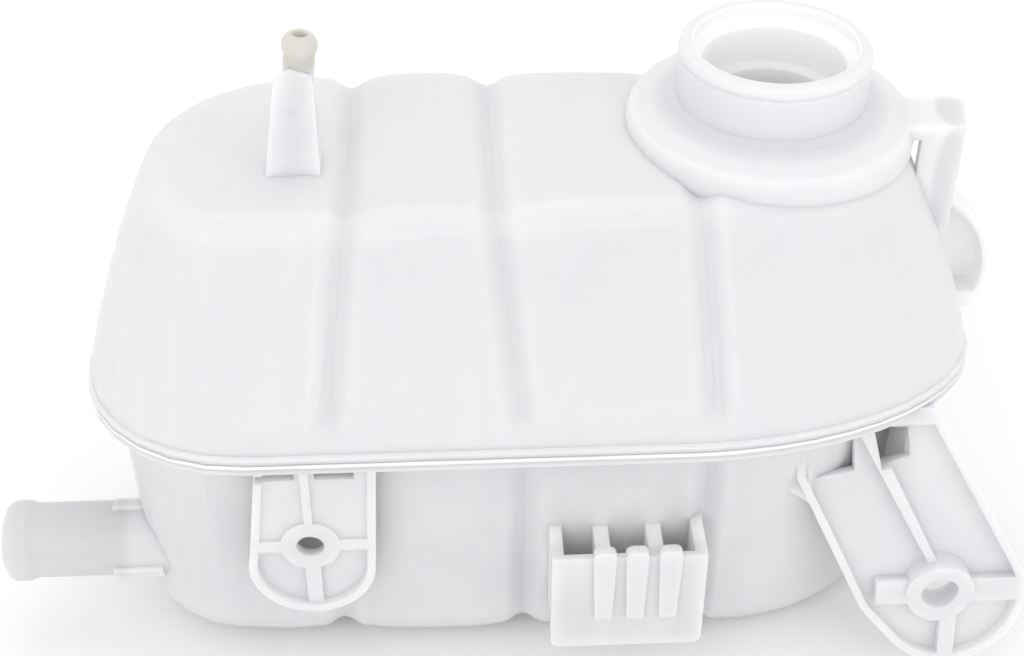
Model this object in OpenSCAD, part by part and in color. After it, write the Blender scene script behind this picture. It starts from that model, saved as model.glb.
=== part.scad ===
// Expansion tank of a car's cooling system, in natural polypropylene: two injection mouldings that are
// welded at a horizontal flange. Millimetres, +Z up, +X towards the large bolt ear, -Y is the front.
// Sizes are written with z = 0 on the weld plane and y = 0 on the front edge of the flange. The last
// translate() moves the origin to the front tab's bolt hole, which is the datum that the car sees.

/* [Body outline] */
// Left end of the flange, from the middle line
flange_left = 133; // [124:1:146]
// Right end of the flange, from the middle line
flange_right = 150; // [141:1:163]
// Depth of the flange, front to back
flange_depth = 114; // [106:1:124]
// Thickness of the flange above and below the weld plane
flange_t = 3.5; // [2.5:0.1:5]
// Wall thickness of both shells
wall = 3; // [2:0.1:3.6]

/* [Upper shell] */
// Height of the upper shell above the weld plane
top_h = 74.5; // [68:0.5:82]
// How far the front wall leans in, from the weld to the top
front_lean = 20; // [14:0.5:24]
// How far the back wall leans in
back_lean = 8.5; // [5:0.5:12]
// How far the left end leans in
left_lean = 26.5; // [20:0.5:32]
// How far the right end leans in
right_lean = 29.5; // [24:0.5:33]
// Share by which the right half narrows, front to back, towards the top
right_narrow = 0.06; // [0:0.01:0.12]
// Step from the flange edge to the upper wall
upper_lip = 1.4; // [0.8:0.1:2.5]
// Rounding between the walls and the top
top_round = 7; // [5:0.5:9]

/* [Lower shell] */
// Depth of the lower shell under the weld plane
bottom_h = 94.5; // [86:0.5:98]
// Fall of the bottom towards the right end, in mm per mm
bottom_slope = 0.025; // [0:0.001:0.03]
// Step from the flange edge to the lower wall at the front
lower_lip = 11; // [8:0.5:12]
// Step from the flange edge to the lower wall at the left end
left_step = 9; // [6:0.5:11]
// Extra step of the lower wall at the right end
right_step = 3; // [1:0.5:5]
// How far the lower walls lean in, from the weld to the bottom
lower_lean = 2; // [1:0.5:6]
// Rounding between the walls and the bottom
bottom_round = 15.5; // [11:0.5:18]

/* [Bays] */
// Middle line to the left groove, at the weld
groove_left = 56; // [50:1:60]
// Middle line to the middle groove, at the weld
groove_mid = 4; // [0:1:8]
// Middle line to the right groove, at the weld
groove_right = 62; // [56:1:66]
// Half the width of a groove
groove_half = 6.4; // [5:0.1:7.5]
// Depth of a groove
groove_depth = 3; // [1.5:0.1:3.6]
// How far a bay bulges out between its grooves
bay_bulge = 1.3; // [0.5:0.1:2.5]

/* [Filler neck] */
// Neck axis, from the middle line
neck_x = 81; // [77:1:84]
// Neck axis, from the front edge of the flange
neck_y = 68; // [65:1:70]
// Top of the neck above the weld plane
neck_top = 102; // [97:0.5:110]
// Outer diameter of the neck
neck_d = 57.4; // [55:0.1:61]
// Diameter of the smooth bore
neck_bore = 43; // [41:0.5:44]
// Diameter of the mouth above the cap's seat
mouth_d = 49; // [47:0.5:50]
// Diameter of the passage under the cap's sealing bore
skirt_bore = 38; // [32:0.5:39]
// Depth of the skirt under the top of the neck
skirt_l = 39; // [32:0.5:44]
// Depth of the straight mouth
mouth_h = 3.5; // [2:0.5:6]
// Diameter of the round platform that carries the neck
platform_d = 88; // [84:1:92]
// Rim of the platform above the top face
platform_h = 6; // [4:0.5:8]
// Rise of the platform from its rim to the neck
platform_rise = 3; // [1:0.5:5]

/* [Vent nipple] */
// Foot of the vent post, from the middle line
vent_x = -62.4; // [-66:0.5:-58]
// Foot of the vent post, from the front edge of the flange
vent_y = 49; // [44:0.5:56]
// Lean of the vent to the right, in degrees
vent_lean = 6.6; // [0:0.1:9]
// Width of the post at its foot
post_w = 16; // [13:0.5:18]
// Front face of the post, from the front edge of the flange
post_y = 43.5; // [41:0.5:45]
// Depth of the post, front to back
post_depth = 12.5; // [11:0.5:16]
// Height of the post's peak above the top face
post_h = 35.3; // [32:0.1:38]
// Height of the vent's tip above the top face
vent_h = 44.3; // [42:0.1:54]
// Outer diameter of the vent tube
vent_d = 9; // [8:0.1:10]
// Outer diameter of the vent's hose bead
vent_bead = 10.2; // [10:0.1:11.5]
// Bore of the vent
vent_bore = 4.4; // [3:0.1:5]

/* [Strap arm] */
// Front face of the arm, from the front edge of the flange
strap_y = 53; // [50:0.5:58]
// Outer face of the arm at its front, from the middle line
strap_x = 138; // [136:0.5:141]
// Width of the arm, front to back
strap_w = 18; // [14:0.5:22]
// Length of the arm's leg
strap_drop = 37.5; // [34:0.5:41]
// Thickness of the arm
strap_t = 4.5; // [3.5:0.1:6]

/* [Rear lug] */
// Front face of the lug, from the front edge of the flange
lug_y = 70; // [66:0.5:76]
// Depth of the lug, front to back
lug_depth = 12; // [9:0.5:16]
// Radius of the lug
lug_r = 33; // [30:0.5:35]
// How far the lug stands out past the flange
lug_out = 10.5; // [8:0.5:13]

/* [Outlet pipe] */
// Pipe axis, from the front edge of the flange
pipe_y = 35; // [32:0.5:38]
// Pipe axis under the weld plane
pipe_drop = 61.2; // [57:0.1:64]
// Outer diameter of the pipe
pipe_d = 25; // [23:0.1:26]
// Outer diameter of the hose bead
pipe_bead = 27; // [26.5:0.1:29]
// Bore of the pipe
pipe_bore = 19.6; // [17:0.1:20]
// End of the pipe, past the left end of the flange
pipe_out = 34; // [28:0.5:42]
// Length of the hose stops, along the pipe from the wall
stop_l = 16; // [12:0.5:19]
// Width of the hose stops
stop_w = 5.4; // [4:0.1:7]

/* [Front tab] */
// Middle of the tab, from the middle line
tab_x = -63.1; // [-68:0.1:-58]
// Radius of the tab's round end
tab_r = 19.8; // [18:0.1:22]
// Middle of the round end under the weld plane
tab_drop = 42.9; // [38:0.1:48]
// Bolt hole under the weld plane
tab_hole_drop = 33.5; // [31:0.1:37]
// Diameter of the tab's bolt hole
tab_hole = 8.6; // [6.4:0.1:9]
// Depth of the tab's rim, front to back
tab_depth = 6; // [5:0.1:7]
// Thickness of the plastic at the tab's bolt hole
hole_wall = 3.6; // [3:0.1:4.2]

/* [Large ear] */
// Middle of the ear's round end, from the middle line
ear_x = 143.4; // [139:0.1:148]
// Middle of the ear's round end, down its own face from the flange
ear_drop = 65.9; // [61:0.1:70]
// Radius of the ear's round end
ear_r = 24.7; // [23:0.1:27]
// Slant of the arm's left side from upright, in degrees
ear_slant = 25.6; // [22:0.1:28]
// Slant of the arm's right side from upright, in degrees
ear_flare = 29.6; // [27:0.1:32]
// How far the arm's left side runs outside the round end
ear_heel = 3.4; // [1:0.1:4.5]
// Reach of the ear's foot to the left, from the middle of the round end
ear_reach = 55.3; // [52:0.1:58]
// Tilt of the ear's face towards the front, in degrees
ear_tilt = 15; // [10:0.5:18]
// Top of the ear's face, from the front edge of the flange
ear_y = 18; // [16:0.5:20]
// Diameter of the ear's bolt hole
ear_hole = 12.3; // [10:0.1:13]
// Depth of the ear's rim, front to back
ear_depth = 8; // [7:0.1:10]
// Length of the boss around the ear's bolt hole
ear_wall = 8; // [6.5:0.1:8.8]
// How far that boss stands proud of the ear's face
ear_proud = 0.8; // [0.5:0.1:2]

/* [Clip pocket] */
// Left side of the pocket, from the middle line
clip_x = 12; // [9:0.1:15]
// Width of the pocket
clip_w = 49; // [46:0.1:52]
// Left partition, from the pocket's left side
clip_post_1 = 13.8; // [12:0.1:15]
// Right partition, from the pocket's left side
clip_post_2 = 30.6; // [29:0.1:32]
// Thickness of the partitions
clip_post_t = 4.8; // [4:0.1:6]
// Front of the pocket, ahead of the flange edge
clip_out = 4.5; // [3:0.1:7]
// Top of the pocket under the weld plane
clip_top = 38.5; // [34:0.5:42]
// Bottom of the pocket under the weld plane
clip_bottom = 78.5; // [74:0.5:82]
// Thickness of the pocket's outer walls
clip_wall = 3.8; // [2.8:0.1:4.4]

/* [Ribs] */
// Thickness of rims and ribs on the tab and the ear
rim = 2.6; // [2:0.1:3.4]
// Thickness of the plate between those ribs
web = 3; // [2.4:0.1:3.6]
// Gap that keeps cuts from ending exactly on a face
cut_gap = 0.5; // [0.3:0.1:1]

/* [Hidden] */
$fn = 64;

CORNER_STEPS = 7;
SWEEP_STEPS = 11;
WALL_CURVE = 1.3;

// An outline is [x_left, x_right, y_front, y_back, then a and b of the four corner ellipses:
// front left, front right, back right, back left]
FLANGE = [-flange_left, flange_right, 0, flange_depth, 53, 49, 97, 53, 44, 42, 38, 40];
TOP = [-flange_left + left_lean, flange_right - right_lean, front_lean, flange_depth - back_lean,
       26, 28, 42, 42, 42, 36, 45, 41];
LOWER = [-flange_left + left_step, flange_right - lower_lip - right_step, lower_lip,
         flange_depth - left_step, 36, 34, 66, 57, 36, 34, 32, 32];

function mix(a, b, t) = a + (b - a) * t;
function smooth(t) = let (u = max(0, min(1, t))) u * u * (3 - 2 * u);

// The same outline with all its sides moved in by c
function inset(o, c) = [o[0] + c, o[1] - c, o[2] + c, o[3] - c, for (i = [4:11]) max(2, o[i] - c)];

// Grooves at the height where the walls have leaned in by the share t
function grooves(t) = [mix(-groove_left, -groove_left + 9, t), mix(groove_mid, -groove_mid, t),
                       mix(groove_right, groove_right - 7, t)];

// Front and back walls as functions of x: straight between the corner ellipses
function front_y(o, x) =
    x > o[1] - o[6] ? let (u = (x - o[1] + o[6]) / o[6]) o[2] + o[7] - o[7] * sqrt(1 - u * u) :
    x < o[0] + o[4] ? let (u = (o[0] + o[4] - x) / o[4]) o[2] + o[5] - o[5] * sqrt(1 - u * u) : o[2];
function back_y(o, x) =
    x > o[1] - o[8] ? let (u = (x - o[1] + o[8]) / o[8]) o[3] - o[9] + o[9] * sqrt(1 - u * u) :
    x < o[0] + o[10] ? let (u = (o[0] + o[10] - x) / o[10]) o[3] - o[11] + o[11] * sqrt(1 - u * u) : o[3];

// Stations along the front and the back, as [x, depth of the groove or height of the bulge]
function notch(x) = [for (s = [-1, -0.7, -0.35, 0, 0.35, 0.7, 1])
    [x + s * groove_half, groove_depth * (1 - s * s) * (1 - s * s)]];
function bay(x0, x1) = [for (u = [0.2, 0.5, 0.8])
    [mix(x0 + groove_half, x1 - groove_half, u), -bay_bulge * (1 - pow(2 * u - 1, 4))]];
function stations(o, g) = concat(
    [[mix(o[0] + max(o[4], o[10]), g[0] - groove_half, 0.5), -bay_bulge * 0.6]],
    notch(g[0]), bay(g[0], g[1]), notch(g[1]), bay(g[1], g[2]), notch(g[2]));

// One ring of the skin at height z. The grooves press it in by ky sideways and by kz downwards.
function ring(z, o, g, ky, kz) =
    let (s = stations(o, g), x_end = g[2] + groove_half, n = len(s),
         cx = o[1] - o[6], a0 = x_end > cx ? 270 + asin((x_end - cx) / o[6]) : 270)
    concat(
        [for (j = [0:CORNER_STEPS]) let (a = 180 + 90 * j / CORNER_STEPS)
            [o[0] + o[4] + o[4] * cos(a), o[2] + o[5] + o[5] * sin(a), z]],
        [for (p = s) [p[0], front_y(o, p[0]) + p[1] * ky, z - p[1] * kz]],
        [for (j = [1:SWEEP_STEPS]) let (a = mix(a0, 360, j / SWEEP_STEPS))
            [cx + o[6] * cos(a), o[2] + o[7] + o[7] * sin(a), z]],
        [for (j = [0:SWEEP_STEPS - 1]) let (a = 90 * j / (SWEEP_STEPS - 1))
            [o[1] - o[8] + o[8] * cos(a), o[3] - o[9] + o[9] * sin(a), z]],
        [for (i = [n - 1:-1:0]) let (p = s[i]) [p[0], back_y(o, p[0]) - p[1] * ky, z - p[1] * kz]],
        [for (j = [0:CORNER_STEPS]) let (a = 90 + 90 * j / CORNER_STEPS)
            [o[0] + o[10] + o[10] * cos(a), o[3] - o[11] + o[11] * sin(a), z]]);

// A closed solid through the rings. up is true when the rings climb.
module skin(rings, up) {
    n = len(rings[0]);
    last = len(rings) - 1;
    sides = [for (k = [0:last - 1], i = [0:n - 1])
        let (j = (i + 1) % n, a = k * n + i, b = k * n + j, c = b + n, d = a + n)
        each [[a, d, c], [a, c, b]]];
    caps = [for (i = [0:n / 2 - 2])
        let (a = i, b = i + 1, c = n - 2 - i, d = n - 1 - i, m = last * n)
        each [[a, b, c], [a, c, d], [m + a, m + c, m + b], [m + a, m + d, m + c]]];
    faces = concat(sides, caps);
    polyhedron(points = [for (r = rings, p = r) p],
               faces = up ? faces : [for (f = faces) [f[0], f[2], f[1]]], convexity = 6);
}

// Grooves fade out towards the flange
function fade(z) = smooth((z - flange_t - 1) / 16);

// Upper shell: the outline at height z, and the rings of its outer or inner surface, c inside the outer
function upper_outline(z) = let (t = pow(max(0, (z - flange_t) / (top_h - flange_t)), WALL_CURVE),
    o = inset(FLANGE, upper_lip)) [for (i = [0:11]) mix(o[i], TOP[i], t)];
function upper_t(z) = max(0, min(1, z / top_h));
// The right half narrows towards the top, so every point there moves to the middle of the depth
function narrowed(points) = [for (p = points)
    let (share = right_narrow * upper_t(p[2]) * smooth((p[0] + 20) / 70))
    [p[0], p[1] + (flange_depth / 2 + 5 - p[1]) * share, p[2]]];
function upper_wall(c) = [for (z = [flange_t + 3, 10.5, 17, 27, 38, 50, top_h - top_round - 5])
    narrowed(ring(z, inset(upper_outline(z), c), grooves(upper_t(z)), fade(z), 0))];
function upper_round(c) = let (r = top_round - c) [for (a = [0, 25, 50, 72, 90])
    let (z = top_h - top_round + r * sin(a), o = upper_outline(top_h - top_round + top_round * sin(a) * 0.8))
    narrowed(ring(z, inset(o, c + r * (1 - cos(a))), grooves(upper_t(z)), cos(a), sin(a)))];

module upper_outer() {
    g = grooves(0);
    skin(concat(
        [ring(0, FLANGE, g, 0, 0), ring(flange_t - 0.7, FLANGE, g, 0, 0),
         ring(flange_t, inset(FLANGE, 0.7), g, 0, 0),
         ring(flange_t + 0.1, inset(FLANGE, upper_lip), g, 0, 0)],
        upper_wall(0), upper_round(0)), true);
}

module upper_cavity() {
    o = inset(FLANGE, upper_lip + wall);
    g = grooves(0);
    skin(concat([ring(-1, o, g, 0, 0), ring(flange_t, o, g, 0, 0)], upper_wall(wall), upper_round(wall)), true);
}

// Lower shell: z counts downwards from the weld plane
// The bottom falls towards the right end, so every level of the lower shell tips with it.
function lower_ring(z, o, g, ky, kz) = [for (p = ring(z, o, g, ky, kz))
    [p[0], p[1], p[2] * (1 + bottom_slope * p[0] / bottom_h)]];
function lower_outline(z) = let (t = max(0, (z - flange_t) / (bottom_h - flange_t))) inset(LOWER, lower_lean * t);
function lower_wall(c) = [for (z = [flange_t + 8, 20, 40, 60, bottom_h - bottom_round - 4])
    lower_ring(-z, inset(lower_outline(z), c), grooves(0), fade(z), 0)];
function lower_round(c) = let (r = bottom_round - c) [for (a = [0, 20, 40, 60, 77, 90])
    let (z = bottom_h - bottom_round + r * sin(a))
    lower_ring(-z, inset(lower_outline(z), c + r * (1 - cos(a))), grooves(0), cos(a), -sin(a))];

module lower_outer() {
    g = grooves(0);
    skin(concat(
        [lower_ring(0, FLANGE, g, 0, 0), lower_ring(-flange_t + 0.7, FLANGE, g, 0, 0),
         lower_ring(-flange_t, inset(FLANGE, 0.7), g, 0, 0), lower_ring(-flange_t - 0.05, LOWER, g, 0, 0)],
        lower_wall(0), lower_round(0)), false);
}

module lower_cavity() {
    o = inset(FLANGE, upper_lip + wall);
    g = grooves(0);
    skin(concat([lower_ring(1, o, g, 0, 0), lower_ring(-0.8, o, g, 0, 0),
                 lower_ring(-flange_t - wall, inset(LOWER, wall), g, 0, 0)],
                lower_wall(wall), lower_round(wall)), false);
}

// Filler neck on its platform, turned about its own axis
module neck_outer() {
    r = neck_d / 2;
    rf = platform_d / 2;
    rim_z = top_h + platform_h;
    translate([neck_x, neck_y, 0])
        rotate_extrude($fn = 80)
            polygon([[0, top_h - 34], [r - 1, top_h - 34], [rf - 1, top_h - 14],
                     [rf, top_h], [rf - 0.4, top_h + platform_h * 0.4], [rf - 1.1, top_h + platform_h * 0.75],
                     [rf - 1.9, rim_z - 0.4], [rf - 2.9, rim_z],
                     [r + 2.5, rim_z + platform_rise], [r, rim_z + platform_rise + 2],
                     [r, neck_top - 4.2], [r - 0.5, neck_top - 3.9], [r - 0.5, neck_top - 3.3],
                     [r, neck_top - 3], [r, neck_top - 1.6], [r - 0.6, neck_top - 0.5],
                     [r - 2, neck_top], [0, neck_top]]);
}

module neck_cavity() {
    r = neck_bore / 2;
    rp = platform_d / 2 - wall;
    skirt = neck_d / 2 - wall;
    seat_z = neck_top - mouth_h;
    translate([neck_x, neck_y, 0]) {
        rotate_extrude($fn = 80)
            polygon([[0, top_h - 40], [r, top_h - 40], [r, seat_z - (mouth_d / 2 - r)],
                     [mouth_d / 2, seat_z], [mouth_d / 2, neck_top + 1], [0, neck_top + 1]]);
        rotate_extrude($fn = 80)
            difference() {
                polygon([[skirt, top_h - 40], [skirt, top_h - 30], [rp - 1, top_h - 12],
                         [rp, top_h], [rp - 1.4, top_h + platform_h - wall],
                         [skirt + wall, top_h + platform_h - wall]]);
                polygon([[0, top_h - 41], [r + 2.4, top_h - 41], [r + 2.4, top_h + 30], [0, top_h + 30]]);
            }
    }
}

// Seat and skirt under the sealing bore, which reach down into the tank
module neck_skirt() {
    r = neck_bore / 2;
    r0 = skirt_bore / 2;
    seat = neck_top - 18;
    low = neck_top - skirt_l;
    translate([neck_x, neck_y, 0])
        rotate_extrude($fn = 80)
            polygon([[r0, low], [r0 + 2, low], [r + 2.4, low + 2], [r + 2.4, seat + 1],
                     [r, seat + 1], [r, seat], [r0, seat - 1.5]]);
}

// Post and tube of the vent nipple, leaning to the right
module vent_frame() {
    translate([vent_x, vent_y, top_h]) rotate([0, vent_lean, 0]) children();
}

module vent_outer() {
    r = vent_d / 2;
    rb = vent_bead / 2;
    bead_z = vent_h - 6;
    vent_frame() rotate_extrude()
        polygon([[0, 4], [r, 4], [r, bead_z], [rb, bead_z + 1.4], [rb, bead_z + 3.4],
                 [rb - 0.8, bead_z + 4.8], [rb - 2.2, vent_h - 0.1], [0, vent_h - 0.1]]);
    // a block with a gabled top that slopes off to the back, upright on its right side
    intersection() {
        translate([vent_x, post_y + post_depth, top_h]) rotate([90, 0, 0]) linear_extrude(post_depth)
            polygon([[-post_w / 2, -4], [post_w / 2, -4], [post_w / 2, post_h - 3.5],
                     [post_w / 2 - 0.4, post_h - 2.2], [2.6, post_h - 0.1], [1.6, post_h],
                     [-0.4, post_h - 0.9], [-2.8, post_h - 3.2], [-3.6, post_h - 6.6], [-post_w / 2, 0]]);
        translate([vent_x - post_w, 0, top_h]) rotate([90, 0, 90]) linear_extrude(2 * post_w)
            polygon([[post_y, -5], [post_y, post_h + 1], [post_y + 1.4, post_h + 1], [post_y + 2.4, post_h - 9],
                     [post_y + post_depth, post_h - 9 - post_depth * 0.9], [post_y + post_depth, -5]]);
    }
}

module vent_hole() {
    vent_frame() translate([0, 0, -10]) cylinder(d = vent_bore, h = vent_h + 20);
}

// Strap arm: a plate that runs out from the platform, with a leg down to the right wall. The leg is a
// front web and an outer wall, open to the back, so it stays clear of the wall at its top.
module strap_arm() {
    z1 = top_h + platform_h;
    z0 = z1 - strap_drop;
    inner = strap_x - 13;
    back = strap_y + strap_w;
    intersection() {
        translate([0, back, 0]) rotate([90, 0, 0]) difference() {
            linear_extrude(strap_w)
                polygon([[neck_x + 30, z1], [strap_x + 4, z1], [strap_x + 4, z0], [strap_x - 3.5, z0],
                         [inner, z0 + 18], [inner, z1 - strap_t], [neck_x + 30, z1 - strap_t]]);
            translate([0, 0, -1]) linear_extrude(strap_w - web + 1)
                polygon([[neck_x + 29, z1 - strap_t], [strap_x - rim, z1 - strap_t], [strap_x - rim, z0 - 1],
                         [neck_x + 29, z0 - 1]]);
        }
        translate([0, 0, z0 - 1]) linear_extrude(strap_drop + 2)
            polygon([[neck_x + 20, strap_y], [strap_x - 1, strap_y], [strap_x, strap_y + 1],
                     [strap_x + 2.6, back - 4.5], [strap_x + 2.2, back - 2], [strap_x + 0.6, back - 0.4],
                     [strap_x - 1.8, back], [neck_x + 20, back]]);
    }
}

// Rounded lug behind the right end, with a rim around a thin web
module rear_lug() {
    cx = flange_right + lug_out - lug_r;
    cz = 14;
    translate([0, lug_y + lug_depth, 0]) rotate([90, 0, 0]) difference() {
        linear_extrude(lug_depth) intersection() {
            translate([cx, cz]) circle(r = lug_r, $fn = 96);
            translate([cx, 0]) square([lug_r + 1, cz + lug_r + 1]);
        }
        translate([0, 0, web]) linear_extrude(lug_depth) intersection() {
            translate([cx, cz]) circle(r = lug_r - rim, $fn = 96);
            translate([cx, flange_t + rim]) square([lug_r + 1, cz + lug_r + 1]);
        }
    }
}

// Outlet pipe with its hose bead and three hose stops, pointing to the left
module pipe_frame() {
    translate([-flange_left - pipe_out, pipe_y, -pipe_drop]) rotate([0, 90, 0]) children();
}

module pipe_outer() {
    r = pipe_d / 2;
    rb = pipe_bead / 2;
    inside = pipe_out + 36;
    wall_at = pipe_out + left_step + 9;
    pipe_frame() {
        rotate_extrude()
            polygon([[0, 0], [rb - 3, 0], [rb - 1.1, 0.9], [rb, 3], [rb, 7], [r, 10], [r, inside], [0, inside]]);
        for (a = [50:120:290]) rotate([0, 0, a])
            translate([r - 1, -stop_w / 2, wall_at - stop_l]) cube([2.2, stop_w, stop_l]);
    }
}

module pipe_hole() {
    pipe_frame() translate([0, 0, -1]) cylinder(d = pipe_bore, h = pipe_out + 33);
}

// A flat plate in the xz plane, from y = 0 backwards
module plate(depth) {
    translate([0, depth, 0]) rotate([90, 0, 0]) linear_extrude(depth) children();
}

// Front tab: a rimmed plate with a round end, under the flange
module tab_outline(c) {
    top = flange_t - 1;
    translate([tab_x, -tab_drop]) circle(r = tab_r - c, $fn = 96);
    polygon([[tab_x - tab_r + c, -tab_drop], [tab_x - tab_r + 5 + c, -top],
             [tab_x + tab_r + 2 - c, -top], [tab_x + tab_r - c, -tab_drop]]);
}

module tab() {
    hz = -tab_hole_drop;
    top = flange_t - 1;
    recess = tab_depth - web;
    difference() {
        plate(tab_depth) tab_outline(0);
        // shallow field above the hole and deep pockets beside the lower rib
        translate([0, -cut_gap, 0]) plate(cut_gap + 1.2) difference() {
            tab_outline(rim);
            translate([tab_x, hz]) circle(r = tab_hole / 2 + 5);
            translate([tab_x - rim / 2, hz]) square([rim, tab_hole_drop]);
            translate([tab_x - tab_r, hz - 2]) square([2 * tab_r, 4]);
        }
        translate([0, -cut_gap, 0]) plate(cut_gap + recess) intersection() {
            tab_outline(rim);
            difference() {
                translate([tab_x - tab_r, hz - 30]) square([2 * tab_r, 28]);
                translate([tab_x - 2.4, hz - 30]) square([4.8, 30]);
                translate([tab_x, hz]) circle(r = tab_hole / 2 + 5);
            }
        }
        for (s = [-1, 1])
            translate([tab_x + s * 9 - 6, -cut_gap, -top - 4.2])
                cube([12, tab_depth + 2 * cut_gap, 4.2 - 0.9]);
        translate([tab_x, hole_wall, hz]) rotate([-90, 0, 0]) cylinder(d = tab_hole + 6, h = tab_depth);
    }
}

module tab_gusset() {
    translate([tab_x - rim / 2, tab_depth - 0.5, -27]) cube([rim, lower_lip + 3 - tab_depth, 27 - 1]);
}

module tab_bore() {
    translate([tab_x, -2, -tab_hole_drop]) rotate([-90, 0, 0]) cylinder(d = tab_hole, h = tab_depth + 4);
}

// Large ear: its own face is tilted, so that the round end comes forward
module ear_frame() {
    translate([0, ear_y, -flange_t]) rotate([-ear_tilt, 0, 0]) children();
}

// Points on the arm's left and right sides, u along the side from beside the round end
function ear_left(c, u) = let (d = ear_r + ear_heel - c)
    [-d * cos(ear_slant) - u * sin(ear_slant), -d * sin(ear_slant) + u * cos(ear_slant)];
function ear_right(c, u) = let (d = ear_r - c)
    [d * cos(ear_flare) - u * sin(ear_flare), d * sin(ear_flare) + u * cos(ear_flare)];

// Outline of the ear on its face, c inside its edge, up to the height given
module ear_arm(c, top) {
    up = ear_drop / cos(ear_flare) + ear_r;
    intersection() {
        translate([ear_x, -ear_drop]) {
            circle(r = ear_r - c, $fn = 96);
            polygon([ear_right(c, 0), ear_right(c, up), ear_left(c, up), ear_left(c, 10),
                     ear_left(c + 1.3, 4.5), [-(ear_r - c) * cos(37), -(ear_r - c) * sin(37)], [0, -ear_r / 2]]);
        }
        union() {
            translate([ear_x - ear_reach + 2.2 + c, -ear_drop - ear_r]) square([ear_r + ear_reach, ear_drop + ear_r + top]);
            translate([ear_x, -ear_drop]) circle(r = ear_r + ear_heel);
        }
    }
}

module ear_axis() {
    translate([ear_x - 3.8, -ear_drop + 2.3]) children();
}

module ear_ribs() {
    long = ear_drop / cos(ear_slant) + ear_r;
    translate([ear_x, -ear_drop]) {
        rotate((ear_slant + ear_flare) / 2) polygon([[-1.3, 8], [1.3, 8], [2.6, long], [-2.6, long]]);
        translate([-rim, -ear_r]) square([2 * rim, ear_r]);
        translate([-ear_r, -1.9]) square([2 * ear_r, 8.5]);
    }
    ear_axis() circle(r = ear_hole / 2 + 5);
}

module ear() {
    recess = ear_depth - web - 1;
    ear_frame() difference() {
        plate(ear_depth) ear_arm(0, web);
        translate([0, -cut_gap, 0]) plate(cut_gap + recess) difference() {
            ear_arm(rim, -rim);
            ear_ribs();
        }
        // two windows under the flange
        translate([ear_x, -cut_gap, 0]) plate(ear_depth + 2 * cut_gap) {
            polygon([[-ear_reach + 5, -5], [-ear_reach + 20.5, -5], [-ear_reach + 21.5, -20.2], [-ear_reach + 9.5, -22.6]]);
            polygon([[-ear_reach + 26, -5], [-ear_reach + 37.5, -5], [-ear_reach + 38.9, -15.4], [-ear_reach + 29.3, -18.4]]);
        }
    }
}

// The hole and its boss run straight back, along the same direction as the tab's hole
module ear_hole_frame() {
    down = ear_drop - 2.3;
    translate([ear_x - 3.8, ear_y - down * sin(ear_tilt), -flange_t - down * cos(ear_tilt)]) rotate([-90, 0, 0])
        children();
}

module ear_boss() {
    ear_hole_frame() translate([0, 0, -ear_proud]) cylinder(d = ear_hole + 10, h = ear_wall, $fn = 80);
}

module ear_bore() {
    ear_hole_frame() {
        translate([0, 0, -ear_proud - 4]) cylinder(d = ear_hole, h = ear_wall + 12);
        translate([0, 0, ear_wall - ear_proud]) cylinder(d = ear_hole + 8, h = ear_depth, $fn = 80);
    }
}

// A foot on the arm's left side, and gussets that carry the arm on the tank wall
module ear_gussets() {
    left = ear_x - ear_reach;
    ear_frame() {
        translate([0, 2, 0]) plate(ear_depth - 2)
            polygon([[left, -13.6], [left + 0.6, -25.8], [left + 7.4, -30.4], [left + 8, -13.6]]);
        for (x = [left + 24, left + 38]) translate([x, ear_depth - 1, -ear_drop / 2]) cube([rim, ear_r, ear_drop / 2 - 1]);
    }
}

// Clip pocket: an open-topped box with two partitions and three round-topped ribs on its front
module clip_pocket() {
    depth = clip_out + lower_lip + 7;
    height = clip_bottom - clip_top;
    cells = [[clip_wall, clip_post_1], [clip_post_1 + clip_post_t, clip_post_2],
             [clip_post_2 + clip_post_t, clip_w - clip_wall]];
    translate([clip_x, -clip_out, -clip_bottom]) {
        difference() {
            translate([0, depth, 0]) rotate([90, 0, 0]) linear_extrude(depth) {
                translate([3, 0]) square([clip_w - 6, height]);
                translate([0, 3]) square([clip_w, height - 3]);
                translate([3, 3]) circle(r = 3);
                translate([clip_w - 3, 3]) circle(r = 3);
            }
            for (c = cells) translate([c[0], 2.4, 4]) cube([c[1] - c[0], depth, height]);
        }
        for (x = [12.9, 23.1, 33.6]) translate([x, 0, 0]) clip_rib(height);
    }
}

// One rib on the pocket's front, wider at its round top
module clip_rib(height) {
    top = height + 4;
    translate([0, 2, 0]) rotate([90, 0, 0]) linear_extrude(3.4) {
        polygon([[1, 14], [6.4, 14], [7.3, top - 3], [0, top - 3]]);
        translate([2.4, top - 3]) circle(r = 2.4);
        translate([4.9, top - 3]) circle(r = 2.4);
        translate([2.4, top - 3]) square([2.5, 2.4]);
    }
}

module upper_shell() color([0.925, 0.925, 0.935]) {
    difference() {
        union() {
            upper_outer();
            neck_outer();
            vent_outer();
            strap_arm();
            rear_lug();
        }
        upper_cavity();
        neck_cavity();
        vent_hole();
    }
    neck_skirt();
}

module lower_shell() color([0.88, 0.88, 0.89]) difference() {
    union() {
        lower_outer();
        pipe_outer();
        tab();
        tab_gusset();
        ear();
        ear_boss();
        ear_gussets();
        clip_pocket();
    }
    lower_cavity();
    pipe_hole();
    tab_bore();
    ear_bore();
}

// The origin is the front tab's bolt hole, on the tab's front face
module at_datum() {
    translate([-tab_x, 0, tab_hole_drop]) children();
}

at_datum() upper_shell();
at_datum() lower_shell();
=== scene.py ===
# %% [markdown]
# # A coolant expansion tank in natural polypropylene
# The tank is two injection mouldings, welded at a flange. The CAD model gives every shape and size.
# This script gives the mouldings the soft edges of a real tool, adds the weld's bead and the marks that
# moulding leaves, builds the milky plastic, and lights the tank on a white table.

# %% Load the CAD frame
import math

import bmesh
import bpy
from mathutils import Euler, Matrix, Vector


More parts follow.
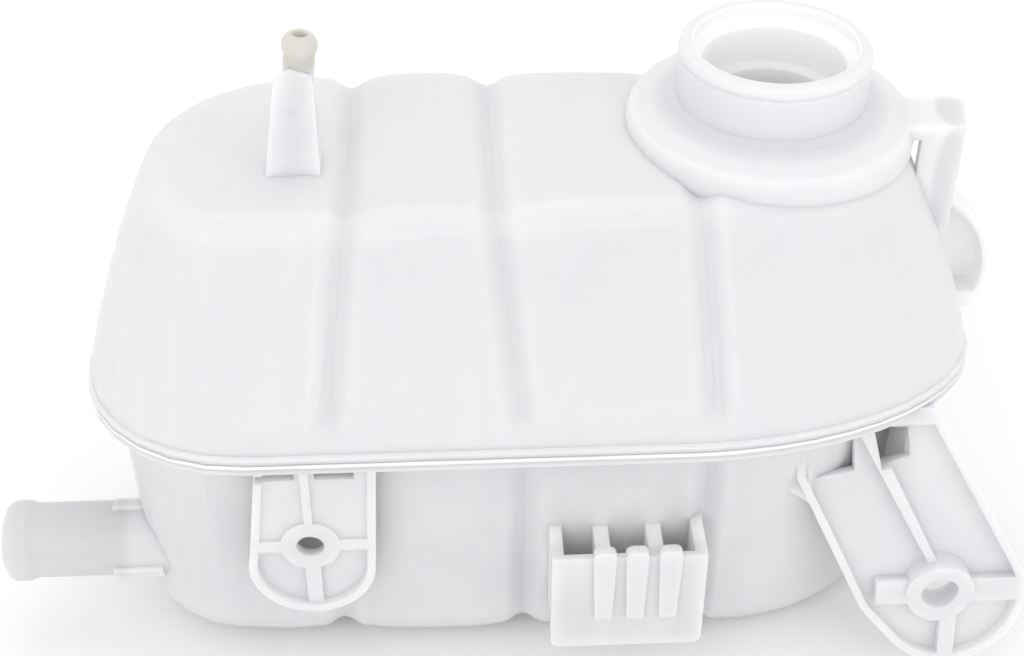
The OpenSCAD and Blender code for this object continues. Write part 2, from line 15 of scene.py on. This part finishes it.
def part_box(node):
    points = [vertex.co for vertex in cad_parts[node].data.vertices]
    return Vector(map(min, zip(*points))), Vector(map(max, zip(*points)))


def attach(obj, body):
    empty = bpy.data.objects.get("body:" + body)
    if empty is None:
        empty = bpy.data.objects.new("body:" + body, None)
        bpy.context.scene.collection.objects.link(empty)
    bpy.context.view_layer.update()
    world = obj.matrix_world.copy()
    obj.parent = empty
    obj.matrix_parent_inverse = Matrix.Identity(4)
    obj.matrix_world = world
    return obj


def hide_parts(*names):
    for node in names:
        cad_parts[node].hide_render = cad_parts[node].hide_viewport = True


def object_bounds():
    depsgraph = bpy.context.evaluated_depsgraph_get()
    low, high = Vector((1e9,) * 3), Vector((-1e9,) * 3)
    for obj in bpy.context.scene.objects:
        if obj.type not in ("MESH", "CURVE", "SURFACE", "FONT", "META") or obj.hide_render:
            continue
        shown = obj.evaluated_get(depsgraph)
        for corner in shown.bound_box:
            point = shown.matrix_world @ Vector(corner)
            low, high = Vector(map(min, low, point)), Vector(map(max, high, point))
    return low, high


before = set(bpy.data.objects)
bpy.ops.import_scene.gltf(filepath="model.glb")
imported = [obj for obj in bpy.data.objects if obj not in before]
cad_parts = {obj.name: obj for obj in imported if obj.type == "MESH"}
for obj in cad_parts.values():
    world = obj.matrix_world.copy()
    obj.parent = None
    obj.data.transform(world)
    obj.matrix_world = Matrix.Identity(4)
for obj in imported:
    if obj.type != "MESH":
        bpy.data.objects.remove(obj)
cad_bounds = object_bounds()
MM = 0.001
UP = Vector((0, 0, 1))
print("CAD nodes:", sorted(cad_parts))

# %% [markdown]
# ## Colours and shader nodes
# Colours are written as the sRGB hex that a colour picker shows, and one function turns them into the
# linear values that a shader needs. Another adds a shader node with its settings and its links, so that a
# material reads as a short list of what feeds what.

# %% Helpers for materials
def srgb(code):
    """'#rrggbb' as linear red, green, blue and 1."""
    parts = [int(code[i:i + 2], 16) / 255 for i in (1, 3, 5)]
    return tuple(p / 12.92 if p < 0.04045 else ((p + 0.055) / 1.055) ** 2.4 for p in parts) + (1.0,)


def add(tree, kind, settings=None, **links):
    """A shader node. settings holds properties and socket values, and links the sockets to join. A socket
    without a name of its own goes by its number: 1 in settings, _1 in links."""
    node = tree.nodes.new("ShaderNode" + kind)
    for name, value in (settings or {}).items():
        if isinstance(name, int) or name in node.inputs:
            node.inputs[name].default_value = value
        else:
            setattr(node, name, value)
    for name, source in links.items():
        target = node.inputs[int(name[1:])] if name[0] == "_" else node.inputs[name.replace("_", " ")]
        tree.links.new(source, target)
    return node


def new_material(name):
    material = bpy.data.materials.new(name)
    material.use_nodes = True
    material.node_tree.nodes.clear()
    return material, material.node_tree


# %% [markdown]
# ## Finished pieces
# Every new piece ends the same way.

# %% Helper for pieces
def piece(name, bm, material):
    """A finished object from a bmesh, riding on the tank."""
    mesh = bpy.data.meshes.new(name)
    bmesh.ops.recalc_face_normals(bm, faces=bm.faces)
    bm.to_mesh(mesh)
    bm.free()
    ob = bpy.data.objects.new(name, mesh)
    bpy.context.scene.collection.objects.link(ob)
    mesh.materials.append(material)
    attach(ob, "root")
    print(name, len(mesh.polygons), "faces")
    return ob


# %% [markdown]
# ## Where painted light and shade change the colour
# The zones paint light and shade into the plastic's colour: a greyer colour in a zone is painted shade, and
# a whiter one is painted light. The vent's tip is also yellowed, a colour of its own. A zone is a place in
# the tank's own millimetres with a soft edge. Inside it one colour takes over from the other, so no seam
# shows and no picture is needed.

# %% Zones and blended colours
def over_range(tree, value, low, high):
    """0 below low and 1 above high, with a soft change between. low may be the larger of the two."""
    return add(tree, "MapRange", {"interpolation_type": "SMOOTHSTEP", "From Min": low, "From Max": high},
               Value=value).outputs["Result"]


def blend(tree, share, first, second):
    """Mixed colour. Each of the two is a hex code or a colour socket."""
    node = add(tree, "Mix", {"data_type": "RGBA"}, _0=share)
    for number, colour in ((6, first), (7, second)):
        if isinstance(colour, str):
            node.inputs[number].default_value = srgb(colour)
        else:
            tree.links.new(colour, node.inputs[number])
    return node.outputs[2]


def near(tree, place, centre, radius, soft, squeeze=(1, 1, 1)):
    """1 within radius of a centre (mm), 0 beyond radius + soft. squeeze below 1 stretches the zone along
    an axis, above 1 flattens it, and 0 makes it endless."""
    if squeeze != (1, 1, 1):
        place = add(tree, "VectorMath", {"operation": "MULTIPLY", 1: squeeze}, _0=place).outputs["Vector"]
    squeezed_centre = Vector(centre) * Vector(squeeze) * MM
    away = add(tree, "VectorMath", {"operation": "DISTANCE", 1: squeezed_centre}, _0=place)
    return over_range(tree, away.outputs["Value"], (radius + soft) * MM, radius * MM)


# %% [markdown]
# ## Natural polypropylene
# Unpigmented polypropylene is milky: light goes a few millimetres in and comes out again, through the
# wall too, so edges glow a little and the shadows behind the ribs stay soft. The melt cools unevenly, which
# leaves faint cloudy patches, and the tool's fine texture makes the shine broad. Real grain is finer than a
# tenth of a millimetre. It is drawn coarser here, so that it shows at all.

# %% The plastic
CLOUD, WAVE, GRAIN = 38, 22, 0.9    # mm: cloudy patches, sunk-in waves of the wall, grain of the tool
SPREAD = 7.0                        # mm that light travels in the wall
WAVE_SHARE, DISH_SHARE = 8.0, -6.0  # heights of the waves and the gate mark beside the grain's


def polypropylene(name, tint, shade, rough, zones, gate=None):
    """tint and shade are the cloudy pair, and each zone is a colour and what near() needs. gate is the
    place of the gate mark, a shallow round dish where the melt came in: a bump, and a darker colour that is
    painted shade in the dish."""
    material, tree = new_material(name)
    place = add(tree, "TexCoord").outputs["Object"]
    clouds = add(tree, "TexNoise", {"Scale": 1 / (CLOUD * MM), "Detail": 3.0, "Roughness": 0.55},
                 Vector=place).outputs["Fac"]
    colour = blend(tree, over_range(tree, clouds, 0.35, 0.7), tint, shade)
    for zone_colour, *where in zones:
        colour = blend(tree, near(tree, place, *where), colour, zone_colour)

    grain = add(tree, "TexNoise", {"Scale": 1 / (GRAIN * MM), "Detail": 2.0}, Vector=place).outputs["Fac"]
    waves = add(tree, "TexNoise", {"Scale": 1 / (WAVE * MM), "Detail": 1.0}, Vector=place).outputs["Fac"]
    height = add(tree, "Math", {"operation": "MULTIPLY_ADD", 1: WAVE_SHARE},
                 _0=waves, _2=grain).outputs["Value"]
    if gate:
        dish = near(tree, place, *gate)
        height = add(tree, "Math", {"operation": "MULTIPLY_ADD", 1: DISH_SHARE},
                     _0=dish, _2=height).outputs["Value"]
        # painted shade: the dish's darker colour stands in for the shade in its hollow
        colour = blend(tree, dish, colour, "#d9d9dc")

    bump = add(tree, "Bump", {"Strength": 0.12, "Distance": 0.12 * MM}, Height=height)
    shine = add(tree, "MapRange", {"To Min": rough - 0.04, "To Max": rough + 0.06}, Value=clouds)
    plastic = add(tree, "BsdfPrincipled", {
        "IOR": 1.49, "Subsurface Weight": 1.0, "Subsurface Radius": (1.0, 0.97, 0.93),
        "Subsurface Scale": SPREAD * MM, "Specular IOR Level": 0.4},
        Base_Color=colour, Roughness=shine.outputs["Result"], Normal=bump.outputs["Normal"])
    add(tree, "OutputMaterial", Surface=plastic.outputs["BSDF"])
    return material


# %% [markdown]
# The upper moulding is the whiter of the two. The lower one's greyer colour is painted shade, for the shade
# it stands in under the upper one. The outlet pipe, the neck, the strap arm and the vent get greyer tints of
# painted shade, and the vent's tip is a little yellowed besides. The bore, the lug and the cells of the clip
# pocket get whiter tints of painted light, for the shade deep in them.

# %% The two plastics
ALL_HEIGHTS = (1, 1, 0)
upper_plastic = polypropylene("natural_polypropylene_upper", "#eaeaec", "#e6e6e9", 0.38, [
    ("#dfdfe2", (144.1, 68, 0), 33, 4, ALL_HEIGHTS),      # thick neck: painted shade where the lamps above light it too brightly
    ("#ffffff", (144.1, 68, 0), 24.7, 0.5, ALL_HEIGHTS),  # its polished bore: painted light that whitens the shade inside the neck
    ("#d8d8db", (204, 62, 97), 15, 3, (1.3, 1, 0.6)),     # thin strap arm: painted shade where the lamps light it too brightly
    ("#f2f2f4", (216, 76, 56), 15, 3, (1.1, 1.6, 0.4)),   # lug: painted light that whitens the shade in its hollow
    ("#dedee1", (1, 49, 133), 12, 14),                    # vent post: painted shade where the lamp above lights it too brightly
    ("#cccac3", (6, 49, 151), 8, 3)],                     # vent tube: its own yellowing, and painted shade that greys it
    gate=((2, 43.5, 129.8), 1.3, 0.8))
# painted shade: this base pair is greyer than the upper moulding's, for the shade under it
lower_plastic = polypropylene("natural_polypropylene_lower", "#e0e0e2", "#dbdbde", 0.4, [
    ("#d1d0d3", (-211, 35, -27.7), 146, 5),                  # outlet pipe: painted shade that greys the thin tube
    ("#ffffff", (99.6, 6.8, -22), 5, 5, (0.25, 1, 0.25))])   # cells of the clip pocket: painted light that whitens the shade deep in them
print("plastics:", upper_plastic.name, lower_plastic.name)

# %% [markdown]
# ## The two mouldings
# Each moulding starts from the CAD node's own surface. Merging its points and dissolving flat
# neighbours gives clean faces, then every sharp edge gets the small radius that a mould cutter leaves.
# Weighted normals keep the large faces flat right up to that radius.

# %% Round the edges of the mouldings
MOULD_RADIUS = 0.5      # mm
SAME_POINT = 0.005      # mm below which two CAD points are one
FLAT, SHARP = 0.5, 32   # degrees below which faces are merged, and above which an edge is rounded


def moulding(name, node, material):
    bm = bmesh.new()
    bm.from_mesh(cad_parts[node].data)
    bmesh.ops.remove_doubles(bm, verts=bm.verts, dist=SAME_POINT * MM)
    bmesh.ops.dissolve_limit(bm, angle_limit=math.radians(FLAT), verts=bm.verts, edges=bm.edges)
    for face in bm.faces:
        face.smooth = True
    ob = piece(name, bm, material)
    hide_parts(node)
    bevel = ob.modifiers.new("mould_radius", "BEVEL")
    bevel.width = MOULD_RADIUS * MM
    bevel.segments = 2
    bevel.limit_method = "ANGLE"
    bevel.angle_limit = math.radians(SHARP)
    bevel.use_clamp_overlap = True
    bevel.harden_normals = False
    ob.modifiers.new("flat_faces", "WEIGHTED_NORMAL").keep_sharp = True


moulding("upper_moulding", "upper_shell", upper_plastic)
moulding("lower_moulding", "lower_shell", lower_plastic)

# %% [markdown]
# ## The weld's path
# The two halves were pressed together on molten edges, and a little plastic squeezed out all round. Its
# path is the outline of the CAD flange at the weld plane, found on the lower node's own mesh and cut again
# into even steps, so the bead follows the flange whatever its shape.

# %% Find the path of the weld
STEP = 2              # mm between the points of the path
SAME_HEIGHT = 0.01    # mm
LYING = 0.7           # a face whose normal's height is above this lies flat


def outline_at(node, z):
    """The longest loop of edges at height z of a CAD node, each the edge of a wall, as points in order."""
    bm = bmesh.new()
    bm.from_mesh(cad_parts[node].data)
    bmesh.ops.remove_doubles(bm, verts=bm.verts, dist=SAME_POINT * MM)
    level = dict.fromkeys(   # a dictionary keeps the edges in order, so each run gives the same path
        e for e in bm.edges if all(abs(v.co.z - z) < SAME_HEIGHT * MM for v in e.verts)
        and any(abs(f.normal.z) < LYING for f in e.link_faces))
    loops = []
    while level:
        start = next(iter(level))
        del level[start]
        first, last = start.verts
        points = [first.co.copy(), last.co.copy()]
        while last != first:
            following = next((e for e in last.link_edges if e in level), None)
            if following is None:
                break
            del level[following]
            last = following.other_vert(last)
            points.append(last.co.copy())
        loops.append(points[:-1] if last == first else points)
    bm.free()
    return max(loops, key=lambda pts: sum((a - b).length for a, b in zip(pts, pts[1:])))


def evenly(points, step):
    """The closed path through points, cut again into pieces about step long."""
    ring = points + points[:1]
    lengths = [(b - a).length for a, b in zip(ring, ring[1:])]
    total = sum(lengths)
    count = int(total / step)
    out, k, done = [], 0, 0.0
    for i in range(count):
        at = total * i / count
        while done + lengths[k] < at:
            done += lengths[k]
            k += 1
        out.append(ring[k].lerp(ring[k + 1], (at - done) / lengths[k]))
    return out


weld_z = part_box("upper_shell")[0][2]
flange_line = evenly(outline_at("lower_shell", weld_z), STEP * MM)
print("weld path:", len(flange_line), "points at height", round(weld_z / MM, 1), "mm")

# %% [markdown]
# ## The weld's bead
# A hot plate squeezes out an oval bead that swells and thins a little along its way. A circle is placed at
# each point of the path, square to it, and each is bridged to the next. The path is moved inwards first, so
# that the bead stands only two tenths of a millimetre proud of the flange.

# %% Sweep the bead
BEAD, BEAD_INSET = 0.94, 0.76   # mm: radius, and distance of its middle from the flange's edge
SWELL = 0.02                    # mm that each of its two slow waves adds and takes
BEAD_TALL = 1.4                 # height over width
BEAD_SIDES = 12

middle = sum(flange_line, Vector()) / len(flange_line)


def around(points):
    """Each point of a closed path with the one before it and the one after it."""
    return zip(points[-1:] + points[:-1], points, points[1:] + points[:1])


def inwards(before, point, after):
    across = (after - before).cross(UP).normalized()
    return across if across.dot(middle - point) > 0 else -across


weld_line = [point + inwards(before, point, after) * BEAD_INSET * MM
             for before, point, after in around(flange_line)]
bm = bmesh.new()
rings = []
for i, (before, point, after) in enumerate(around(weld_line)):
    along = (after - before).normalized()
    side = along.cross(UP).normalized()
    rise = side.cross(along).normalized()
    radius = (BEAD + SWELL * math.sin(i * 0.4) + SWELL * math.sin(i * 0.15)) * MM
    square_to_path = Matrix((side * radius, rise * radius * BEAD_TALL, along)).transposed().to_4x4()
    square_to_path.translation = point
    ring = bmesh.ops.create_circle(bm, segments=BEAD_SIDES, radius=1.0, matrix=square_to_path)["verts"]
    rings.append(list(dict.fromkeys(edge for vert in ring for edge in vert.link_edges)))
for one, two in zip(rings, rings[1:] + rings[:1]):
    bmesh.ops.bridge_loops(bm, edges=one + two)
for face in bm.faces:
    face.smooth = True

# %% [markdown]
# The squeezed-out plastic has cooled freely in air. It is a little shinier than the moulded wall, and it
# ripples. Its two colours are whiter than either moulding's: painted light that lifts the shade in the
# crease along the weld. The ripple between them is its own uneven tone.

# %% Finish the bead
RIPPLE = 3   # mm
weld_plastic, tree = new_material("remelted_polypropylene")
place = add(tree, "TexCoord").outputs["Object"]
ripple = add(tree, "TexNoise", {"Scale": 1 / (RIPPLE * MM), "Detail": 2.0}, Vector=place).outputs["Fac"]
bump = add(tree, "Bump", {"Strength": 0.3, "Distance": 0.15 * MM}, Height=ripple)
# painted light: both colours are whiter than the mouldings', lifting the shade in the weld's crease
skin = add(tree, "BsdfPrincipled", {"Roughness": 0.34, "IOR": 1.49},
           Base_Color=blend(tree, ripple, "#f3f3f5", "#ececef"), Normal=bump.outputs["Normal"])
add(tree, "OutputMaterial", Surface=skin.outputs["BSDF"])
piece("weld_bead", bm, weld_plastic)

# %% [markdown]
# ## The table
# The tank stands on a white laminate table. It is 6 m wide, so that the camera sees none of its edges.

# %% Lay the table
TABLE_HALF = 3.0   # m from its middle to its edge
low = cad_bounds[0][2]
bm = bmesh.new()
bmesh.ops.create_grid(bm, x_segments=1, y_segments=1, size=TABLE_HALF,
                      matrix=Matrix.Translation((0.06, 0.05, low)))
mesh = bpy.data.meshes.new("table")
bm.to_mesh(mesh)
bm.free()
table = bpy.data.objects.new("table", mesh)
bpy.context.scene.collection.objects.link(table)
white, tree = new_material("white_laminate")
board = add(tree, "BsdfPrincipled", {"Base Color": srgb("#fafafa"), "Roughness": 0.7})
add(tree, "OutputMaterial", Surface=board.outputs["BSDF"])
mesh.materials.append(white)
print("table at", round(low / MM, 1), "mm")

# %% [markdown]
# ## The light
# A big soft light stands on the left, a weaker one on the right and one above and behind. The white room
# gives most of the light. Where the camera looks at it, it is plain white.

# %% Hang the lights
TANK = Vector((0.05, 0.05, 0.05))


def softbox(name, place, size, watts):
    light = bpy.data.lights.new(name, "AREA")
    light.shape = "DISK"
    light.size = size
    light.energy = watts
    ob = bpy.data.objects.new(name, light)
    bpy.context.scene.collection.objects.link(ob)
    ob.location = place
    ob.rotation_euler = (TANK - Vector(place)).to_track_quat("-Z", "Y").to_euler()


softbox("key", (-0.6, -1.3, 1.0), 1.2, 5)
softbox("fill", (1.1, -1.1, 0.7), 1.0, 2.5)
softbox("top", (0.1, 0.6, 1.8), 1.4, 4)

ROOM_LIGHT, ROOM_SEEN = 0.92, 1.0   # strengths: what lights the tank, and what the camera sees
world = bpy.data.worlds.new("studio")
bpy.context.scene.world = world
world.use_nodes = True
tree = world.node_tree
looked_at = add(tree, "LightPath").outputs["Is Camera Ray"]
strength = add(tree, "Math", {"operation": "MULTIPLY_ADD", 1: ROOM_SEEN - ROOM_LIGHT, 2: ROOM_LIGHT},
               _0=looked_at)
tree.nodes["Background"].inputs["Color"].default_value = (1, 1, 1, 1)
tree.links.new(strength.outputs["Value"], tree.nodes["Background"].inputs["Strength"])
print("lights:", [light.name for light in bpy.data.lights])

# %% [markdown]
# ## The camera
# It stands in front of the tank and above it, and looks down and a little to the right. Its lens is a little
# longer than a normal one, so the tank fills the picture.

# %% Place the camera
LOOKED_AT = Vector((63.1, 9, 77))   # mm
EYE_DISTANCE = 490                  # mm from there to the camera
DOWN, TURNED = 38, 2.6              # degrees that it looks down, and to the right
SENSOR, LENS = 36, 59.77            # mm

camera = bpy.data.cameras.new("camera")
eye = bpy.data.objects.new("camera", camera)
bpy.context.scene.collection.objects.link(eye)
bpy.context.scene.camera = eye
turn = Euler((math.radians(90 - DOWN), 0, math.radians(-TURNED))).to_matrix()
stand = (LOOKED_AT + turn @ Vector((0, 0, EYE_DISTANCE))) * MM
eye.matrix_world = Matrix.LocRotScale(stand, turn, None)
camera.sensor_width = SENSOR
camera.lens = LENS
camera.clip_start = 0.01
bpy.context.scene.view_settings.view_transform = "Standard"
print("camera at", [round(c / MM) for c in stand], "mm")

# %% Finish
print("CAD box", [tuple(round(c, 4) for c in v) for v in cad_bounds])
